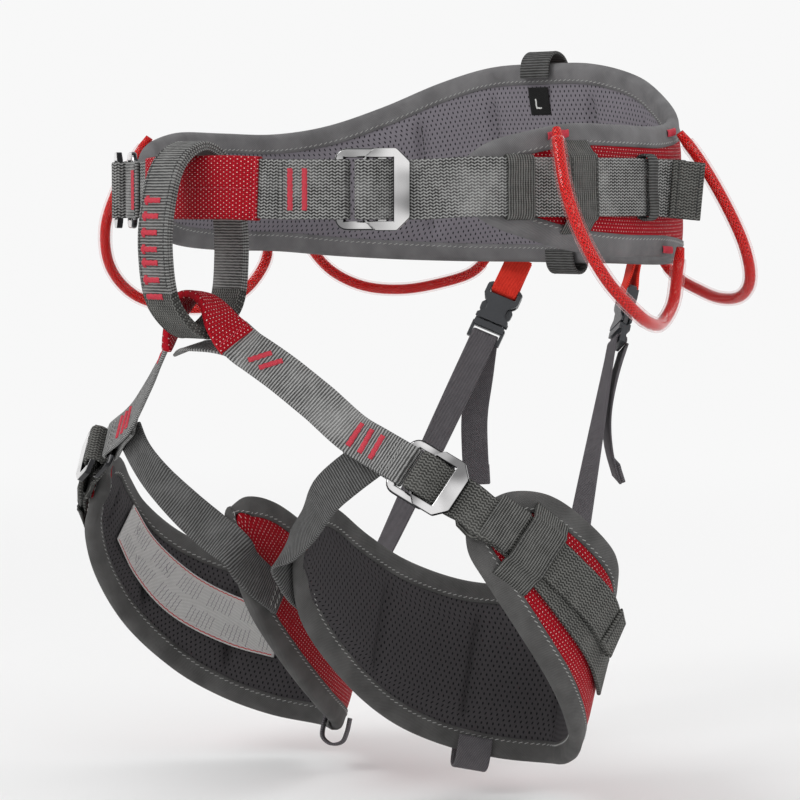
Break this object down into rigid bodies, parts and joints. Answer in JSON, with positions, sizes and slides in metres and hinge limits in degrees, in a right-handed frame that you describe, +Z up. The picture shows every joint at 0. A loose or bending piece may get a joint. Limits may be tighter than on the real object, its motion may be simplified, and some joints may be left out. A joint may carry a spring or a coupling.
{
  "type": "climbing harness",
  "caption": "Padded sport climbing harness with two-buckle waist belt, belay loop, adjustable leg loops, tubed gear loops and clip-on rear risers.",
  "frame": {"origin": "middle of the waist opening, level with the waist buckles", "axes": "+Z up, -Y the way the wearer faces, +X the wearer's left"},
  "size_m": [0.3576, 0.3314, 0.3786],
  "materials": {
    "foam": "closed-cell foam",
    "lining": "perforated spacer mesh",
    "red_mesh": "red mesh with rows of light dots",
    "binding": "rolled stretch binding",
    "elastic": "woven elastic",
    "steel": "polished",
    "cord": "braided",
    "clear_tube": "clear and glossy",
    "plastic": "satin moulded",
    "riser_tab": "red twill tape",
    "label": "black woven label",
    "riser_web": "soft twill tape",
    "webbing": "ribbed polyester webbing"
  },
  "bodies": {
    "waist": {"waist_foam": "foam", "waist_lining": "lining", "waist_shell": "red_mesh", "waist_binding": "binding", "waist_webbing": "webbing", "hip_bands": "elastic", "tie_in_webbing": "webbing", "tie_in_sleeve": "red_mesh", "waist_frame_left": "steel", "waist_frame_right": "steel", "haul_strap": "webbing", "size_label": "label", "riser_tabs": "riser_tab", "riser_sockets": "plastic", "riser_plug_left": "plastic", "riser_plug_right": "plastic"},
    "waist_slider_left": {"waist_slider_left": "steel"},
    "waist_slider_right": {"waist_slider_right": "steel"},
    "belay_loop": {"belay_loop": "webbing"},
    "lower_tie_in": {"lower_sleeve": "red_mesh", "lower_webbing": "webbing", "bridge_strap": "webbing"},
    "gear_loop_1": {"gear_cord_1": "cord", "gear_tube_1": "clear_tube"},
    "gear_loop_2": {"gear_cord_2": "cord", "gear_tube_2": "clear_tube"},
    "gear_loop_3": {"gear_cord_3": "cord", "gear_tube_3": "clear_tube"},
    "gear_loop_4": {"gear_cord_4": "cord", "gear_tube_4": "clear_tube"},
    "leg_left": {"leg_foam_left": "foam", "leg_lining_left": "lining", "leg_shell_left": "red_mesh", "leg_binding_left": "binding", "leg_strap_left": "webbing", "leg_webbing_left": "webbing", "leg_frame_left": "steel", "inner_strap_left": "webbing", "leg_bands_left": "elastic", "knee_tab_left": "webbing", "riser_strap_left": "riser_web"},
    "leg_slider_left": {"leg_slider_left": "steel"},
    "riser_arm_left_a": {"riser_arms_left_a": "plastic"},
    "riser_arm_left_b": {"riser_arms_left_b": "plastic"},
    "riser_tail_left": {"riser_tail_left": "riser_web"},
    "leg_right": {"leg_foam_right": "foam", "leg_lining_right": "lining", "leg_shell_right": "red_mesh", "leg_binding_right": "binding", "leg_strap_right": "webbing", "leg_webbing_right": "webbing", "leg_frame_right": "steel", "inner_strap_right": "webbing", "leg_bands_right": "elastic", "knee_tab_right": "webbing", "riser_strap_right": "riser_web"},
    "leg_slider_right": {"leg_slider_right": "steel"},
    "riser_arm_right_a": {"riser_arms_right_a": "plastic"},
    "riser_arm_right_b": {"riser_arms_right_b": "plastic"},
    "riser_tail_right": {"riser_tail_right": "riser_web"}
  },
  "joints": [
    {"name": "waist_slider_left_tilt", "type": "hinge", "parent": "waist", "child": "waist_slider_left", "pos_m": [0.0852, -0.1196, 0.003], "axis": [0, 0, -1], "range_deg": [0, 16]},
    {"name": "waist_slider_right_tilt", "type": "hinge", "parent": "waist", "child": "waist_slider_right", "pos_m": [-0.0852, -0.1196, 0.003], "axis": [0, 0, 1], "range_deg": [0, 16]},
    {"name": "leg_slider_left_tilt", "type": "hinge", "parent": "leg_left", "child": "leg_slider_left", "pos_m": [0.11427, -0.11169, -0.13046], "axis": [-0.2715, -0.518, -0.8111], "range_deg": [0, 16]},
    {"name": "leg_slider_right_tilt", "type": "hinge", "parent": "leg_right", "child": "leg_slider_right", "pos_m": [-0.11427, -0.11169, -0.13046], "axis": [-0.2715, 0.518, 0.8111], "range_deg": [0, 16]},
    {"name": "gear_loop_1_swing", "type": "hinge", "parent": "waist", "child": "gear_loop_1", "pos_m": [0.142, -0.046, 0.032], "axis": [-0.0267, -0.8556, 0.5169], "range_deg": [-3, 30], "stiffness_Nm_per_rad": 0.15, "springref_deg": 0.5},
    {"name": "gear_loop_2_swing", "type": "hinge", "parent": "waist", "child": "gear_loop_2", "pos_m": [0.138, 0.058, 0.032], "axis": [0.5691, -0.6515, 0.5017], "range_deg": [-3, 30], "stiffness_Nm_per_rad": 0.15, "springref_deg": 0.63},
    {"name": "gear_loop_3_swing", "type": "hinge", "parent": "waist", "child": "gear_loop_3", "pos_m": [-0.142, -0.046, 0.032], "axis": [-0.0267, 0.8556, -0.5169], "range_deg": [-3, 30], "stiffness_Nm_per_rad": 0.15, "springref_deg": 0.5},
    {"name": "gear_loop_4_swing", "type": "hinge", "parent": "waist", "child": "gear_loop_4", "pos_m": [-0.138, 0.058, 0.032], "axis": [0.5691, 0.6515, -0.5017], "range_deg": [-3, 30], "stiffness_Nm_per_rad": 0.15, "springref_deg": 0.63},
    {"name": "belay_loop_swing", "type": "hinge", "parent": "waist", "child": "belay_loop", "pos_m": [0, -0.15, 0.004], "axis": [1, 0, 0], "range_deg": [-2.5, 2.5]},
    {"name": "lower_tie_in_turn", "type": "hinge", "parent": "waist", "child": "lower_tie_in", "pos_m": [0, -0.148, -0.062], "axis": [1, 0, 0], "range_deg": [-3, 3]},
    {"name": "leg_loop_left_swing", "type": "hinge", "parent": "waist", "child": "leg_left", "pos_m": [0, -0.148, -0.062], "axis": [1, 0, 0], "range_deg": [-6, 8], "stiffness_Nm_per_rad": 6, "deforming": ["riser_strap_left"]},
    {"name": "leg_loop_right_swing", "type": "hinge", "parent": "waist", "child": "leg_right", "pos_m": [0, -0.148, -0.062], "axis": [1, 0, 0], "range_deg": [-6, 8], "stiffness_Nm_per_rad": 6, "deforming": ["riser_strap_right"]},
    {"name": "riser_left_arm_a_squeeze", "type": "hinge", "parent": "waist", "child": "riser_arm_left_a", "pos_m": [0.04197, 0.13156, -0.07429], "axis": [0.5989, 0.7386, -0.3095], "range_deg": [0, 7], "stiffness_Nm_per_rad": 0.05},
    {"name": "riser_left_arm_b_squeeze", "type": "hinge", "parent": "waist", "child": "riser_arm_left_b", "pos_m": [0.05114, 0.12597, -0.0699], "axis": [-0.5989, -0.7386, 0.3095], "range_deg": [0, 7], "stiffness_Nm_per_rad": 0.05},
    {"name": "riser_right_arm_a_squeeze", "type": "hinge", "parent": "waist", "child": "riser_arm_right_a", "pos_m": [-0.04197, 0.13156, -0.07429], "axis": [0.5989, -0.7386, 0.3095], "range_deg": [0, 7], "stiffness_Nm_per_rad": 0.05},
    {"name": "riser_right_arm_b_squeeze", "type": "hinge", "parent": "waist", "child": "riser_arm_right_b", "pos_m": [-0.05114, 0.12597, -0.0699], "axis": [-0.5989, 0.7386, -0.3095], "range_deg": [0, 7], "stiffness_Nm_per_rad": 0.05},
    {"name": "riser_tail_left_swing", "type": "hinge", "parent": "waist", "child": "riser_tail_left", "pos_m": [0.05, 0.127, -0.083], "axis": [0.7871, -0.4715, 0.3977], "range_deg": [-2, 30], "stiffness_Nm_per_rad": 0.004, "springref_deg": -2.64},
    {"name": "riser_tail_right_swing", "type": "hinge", "parent": "waist", "child": "riser_tail_right", "pos_m": [-0.05, 0.1275, -0.083], "axis": [0.7951, 0.5944, -0.1201], "range_deg": [-2, 30], "stiffness_Nm_per_rad": 0.004, "springref_deg": -1.17}
  ],
  "couplings": [
    {"joint": "riser_left_arm_b_squeeze", "follows": "riser_left_arm_a_squeeze", "ratio": 1},
    {"joint": "riser_right_arm_b_squeeze", "follows": "riser_right_arm_a_squeeze", "ratio": 1}
  ]
}
